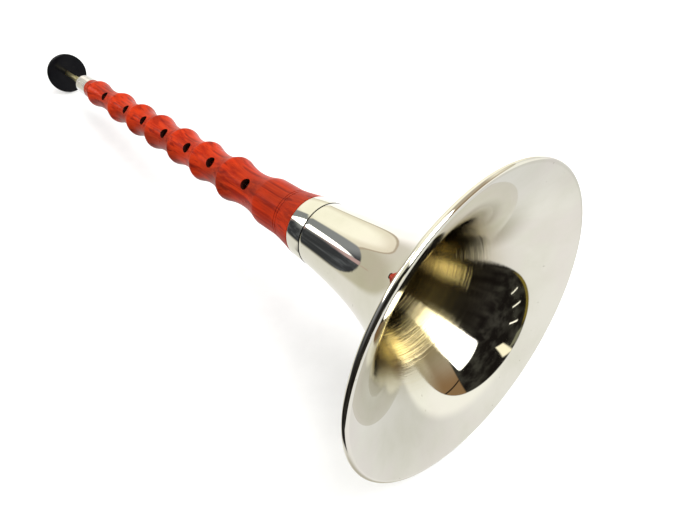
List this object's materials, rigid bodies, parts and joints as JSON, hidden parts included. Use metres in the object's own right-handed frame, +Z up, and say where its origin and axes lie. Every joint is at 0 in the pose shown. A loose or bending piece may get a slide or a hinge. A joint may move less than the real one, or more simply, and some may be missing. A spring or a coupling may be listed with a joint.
{
  "type": "zurna",
  "caption": "Conical shawm in a wavy turned wooden stick with finger holes, a flared metal bell with a rolled rim, a metal cap, a brass staple, a lip disc and a pinched cane reed.",
  "frame": {"origin": "on the surface that the instrument lies on, under the middle of its length and width", "axes": "+X towards the bell, -Y towards the front and +Z up; the instrument lies on the rim of its bell and on its lip disc, so its bore rises by 7 degrees towards the bell, and the row of finger holes is turned 36 degrees from the top to the front"},
  "size_m": [0.44, 0.1304, 0.1294],
  "materials": {
    "red_wood": "orange-red hardwood under satin varnish",
    "thread": "waxed thread",
    "silver_cap": "plated, polished",
    "white_metal": "nickel silver, polished, with fine turned lines",
    "steel_wire": "drawn",
    "staple_brass": "drawn tube, slightly dull",
    "black_disc": "polished",
    "cane": "scraped cane",
    "copper_wire": "bright copper"
  },
  "bodies": {
    "stick": {"wood_body": "red_wood", "tenon_lapping": "thread", "top_ferrule": "silver_cap"},
    "bell": {"bell": "white_metal", "rim_wire": "steel_wire", "neck_band": "white_metal"},
    "staple": {"staple": "staple_brass", "staple_lapping": "thread"},
    "lip_disc": {"lip_disc": "black_disc"},
    "reed": {"reed": "cane", "reed_wire": "copper_wire"}
  },
  "joints": [
    {"name": "bell_slide", "type": "slide", "parent": "stick", "child": "bell", "axis": [0.9924, 0, 0.1233], "range_m": [0, 0.025]},
    {"name": "staple_slide", "type": "slide", "parent": "stick", "child": "staple", "axis": [-0.9924, 0, -0.1233], "range_m": [0, 0.024]},
    {"name": "lip_disc_turn", "type": "hinge", "parent": "staple", "child": "lip_disc", "pos_m": [-0.19301, 0, 0.01456], "axis": [-0.9924, 0, -0.1233], "continuous": true},
    {"name": "reed_slide", "type": "slide", "parent": "staple", "child": "reed", "axis": [-0.9924, 0, -0.1233], "range_m": [0, 0.008]}
  ]
}
